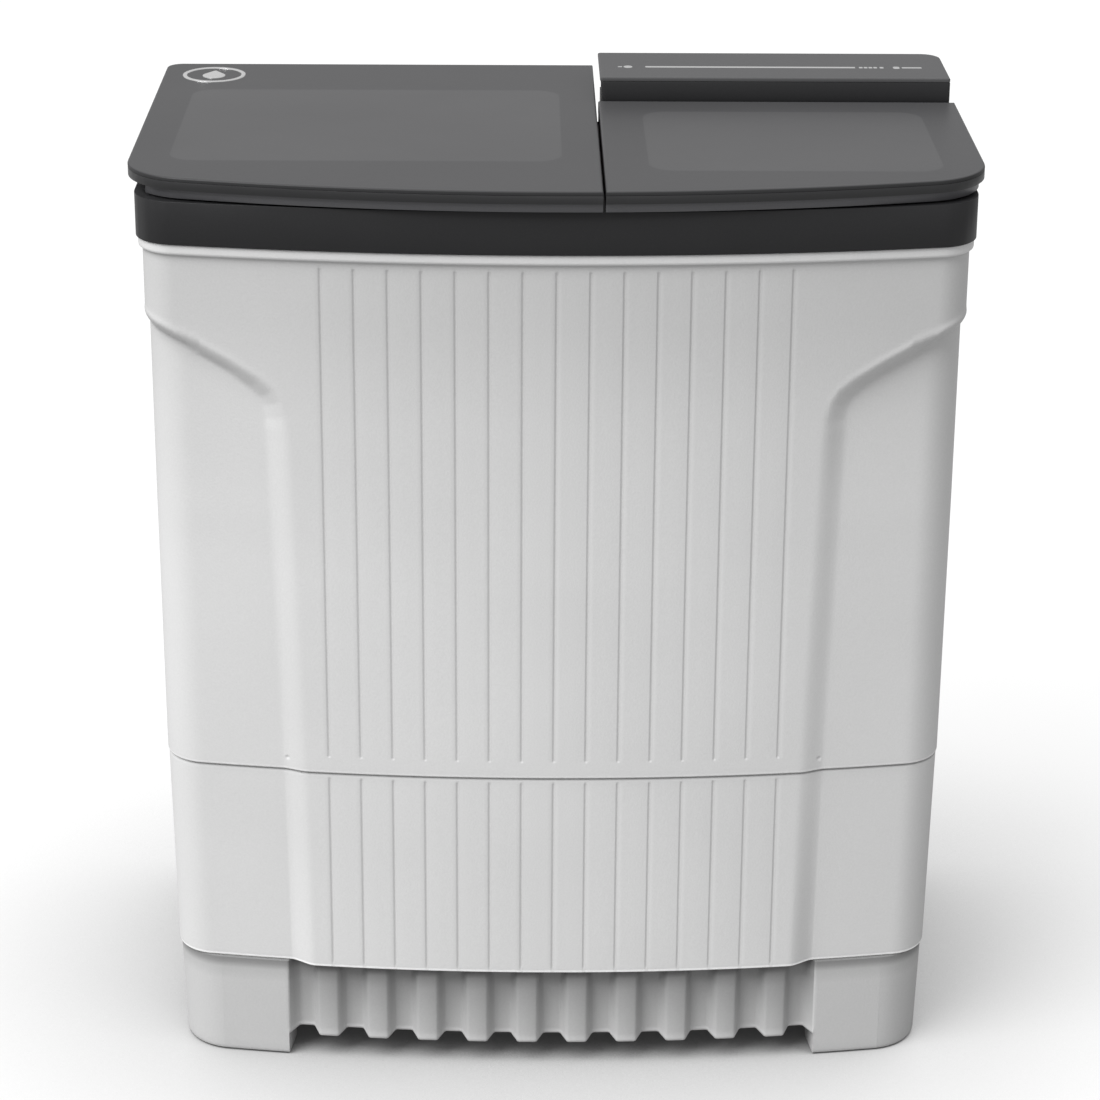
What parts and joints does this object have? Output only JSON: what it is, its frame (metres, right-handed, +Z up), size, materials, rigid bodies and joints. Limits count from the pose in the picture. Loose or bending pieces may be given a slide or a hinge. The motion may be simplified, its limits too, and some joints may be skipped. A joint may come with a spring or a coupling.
{
  "type": "twin tub washer",
  "caption": "Free-standing twin tub washer: a wash tub and a spin basket side by side under two smoked glass lids, with a touch panel at the back right.",
  "frame": {"origin": "on the floor, under the centre of the bounding box", "axes": "+X to the right seen from the front, +Y to the back, +Z up"},
  "size_m": [0.82, 0.512, 0.961],
  "materials": {
    "white_shell": "fine matte grain",
    "dark_trim": "satin charcoal",
    "lid_frame": "satin charcoal",
    "smoked_glass": "polished smoked glass, printed dark on its underside",
    "tub_plastic": "smooth moulded",
    "rubber": "matte",
    "cover_steel": "powder coated",
    "screws": "zinc plated",
    "badge": "satin",
    "circuit_board": "lacquered board with components",
    "pulsator_plastic": "smooth moulded",
    "shaft_steel": "ground",
    "cast_alloy": "die cast",
    "plated_steel": "zinc plated",
    "capacitor_can": "smooth",
    "filter_plastic": "smooth moulded",
    "filter_net": "woven nylon net",
    "basket_plastic": "smooth moulded",
    "cover_plastic": "smooth moulded",
    "cable_black": "smooth",
    "grey_plastic": "smooth moulded"
  },
  "bodies": {
    "machine": {"base": "white_shell", "foot_pads": "rubber", "cabinet": "white_shell", "back_cover": "cover_steel", "back_cover_screws": "screws", "top_frame": "dark_trim", "top_frame_screws": "screws", "lid_buffers": "rubber", "wash_tub": "tub_plastic", "spin_tub": "tub_plastic", "panel_housing": "dark_trim", "panel_glass": "smoked_glass", "control_board": "circuit_board", "display_board": "circuit_board", "pulsator_seal": "rubber", "gearbox": "cast_alloy", "gearbox_plate": "plated_steel", "gearbox_bolts": "screws", "drive_belt": "rubber", "wash_motor": "cast_alloy", "wash_motor_mounts": "rubber", "wash_capacitor": "capacitor_can", "spin_seal": "rubber", "brake_bracket": "plated_steel", "brake_cable": "cable_black", "spin_motor": "cast_alloy", "spin_motor_plate": "plated_steel", "spin_motor_springs": "plated_steel", "spin_capacitor": "capacitor_can", "drain_valve_body": "grey_plastic", "drain_valve_spring": "plated_steel", "drain_actuator": "grey_plastic", "drain_pipe": "grey_plastic", "spin_drain_hose": "grey_plastic", "water_inlet_pipe": "grey_plastic", "cord_gland": "cable_black"},
    "wash_lid": {"wash_lid_frame": "lid_frame", "wash_lid_glass": "smoked_glass", "wash_lid_hinge_pins": "screws", "lid_badge": "badge"},
    "spin_lid": {"spin_lid_frame": "lid_frame", "spin_lid_glass": "smoked_glass", "spin_lid_hinge_pins": "screws"},
    "pulsator": {"pulsator": "pulsator_plastic", "pulsator_cap": "pulsator_plastic", "pulsator_screw": "screws", "pulsator_shaft": "shaft_steel"},
    "gearbox_input": {"gearbox_pulley": "cast_alloy", "pulley_nut": "screws"},
    "wash_motor_rotor": {"wash_motor_shaft": "shaft_steel", "wash_motor_pulley": "cast_alloy"},
    "spin_rotor": {"spin_basket": "basket_plastic", "basket_nut": "screws", "spin_shaft": "shaft_steel", "brake_drum": "cast_alloy"},
    "safety_cover": {"spin_safety_cover": "cover_plastic"},
    "lint_filter": {"lint_filter_frame": "filter_plastic", "lint_filter_net": "filter_net"},
    "brake": {"brake_lever": "plated_steel"},
    "drain_plug": {"drain_valve_plug": "rubber"}
  },
  "joints": [
    {"name": "wash_lid_hinge", "type": "hinge", "parent": "machine", "child": "wash_lid", "pos_m": [-0.17, 0.236, 0.915], "axis": [-1, 0, 0], "range_deg": [0, 100]},
    {"name": "spin_lid_hinge", "type": "hinge", "parent": "machine", "child": "spin_lid", "pos_m": [0.225, 0.084, 0.928], "axis": [-1, 0, 0], "range_deg": [0, 100]},
    {"name": "gearbox_pulley_spin", "type": "hinge", "parent": "machine", "child": "gearbox_input", "pos_m": [-0.175, 0.0075, 0.3], "axis": [0, 0, 1], "continuous": true},
    {"name": "pulsator_spin", "type": "hinge", "parent": "machine", "child": "pulsator", "pos_m": [-0.175, 0.0075, 0.41], "axis": [0, 0, 1], "continuous": true},
    {"name": "wash_motor_spin", "type": "hinge", "parent": "machine", "child": "wash_motor_rotor", "pos_m": [-0.005, 0.0075, 0.3], "axis": [0, 0, 1], "continuous": true},
    {"name": "spin_basket_spin", "type": "hinge", "parent": "machine", "child": "spin_rotor", "pos_m": [0.222, -0.055, 0.4], "axis": [0, 0, 1], "continuous": true},
    {"name": "safety_cover_lift", "type": "slide", "parent": "spin_rotor", "child": "safety_cover", "axis": [0, 0, 1], "range_m": [0, 0.034]},
    {"name": "lint_filter_lift", "type": "slide", "parent": "machine", "child": "lint_filter", "axis": [0, 0, 1], "range_m": [0, 0.045]},
    {"name": "brake_lever_swing", "type": "hinge", "parent": "machine", "child": "brake", "pos_m": [0.177, 0.027, 0.346], "axis": [0, 0, -1], "range_deg": [0, 6]},
    {"name": "drain_plug_lift", "type": "slide", "parent": "machine", "child": "drain_plug", "axis": [0, 0, 1], "range_m": [0, 0.006], "stiffness_N_per_m": 300, "springref_m": -0.01, "deforming": ["drain_valve_spring"]}
  ],
  "couplings": [
    {"joint": "pulsator_spin", "follows": "gearbox_pulley_spin", "ratio": 0.25},
    {"joint": "wash_motor_spin", "follows": "gearbox_pulley_spin", "ratio": 4},
    {"joint": "brake_lever_swing", "follows": "spin_lid_hinge", "ratio": 0.06}
  ]
}
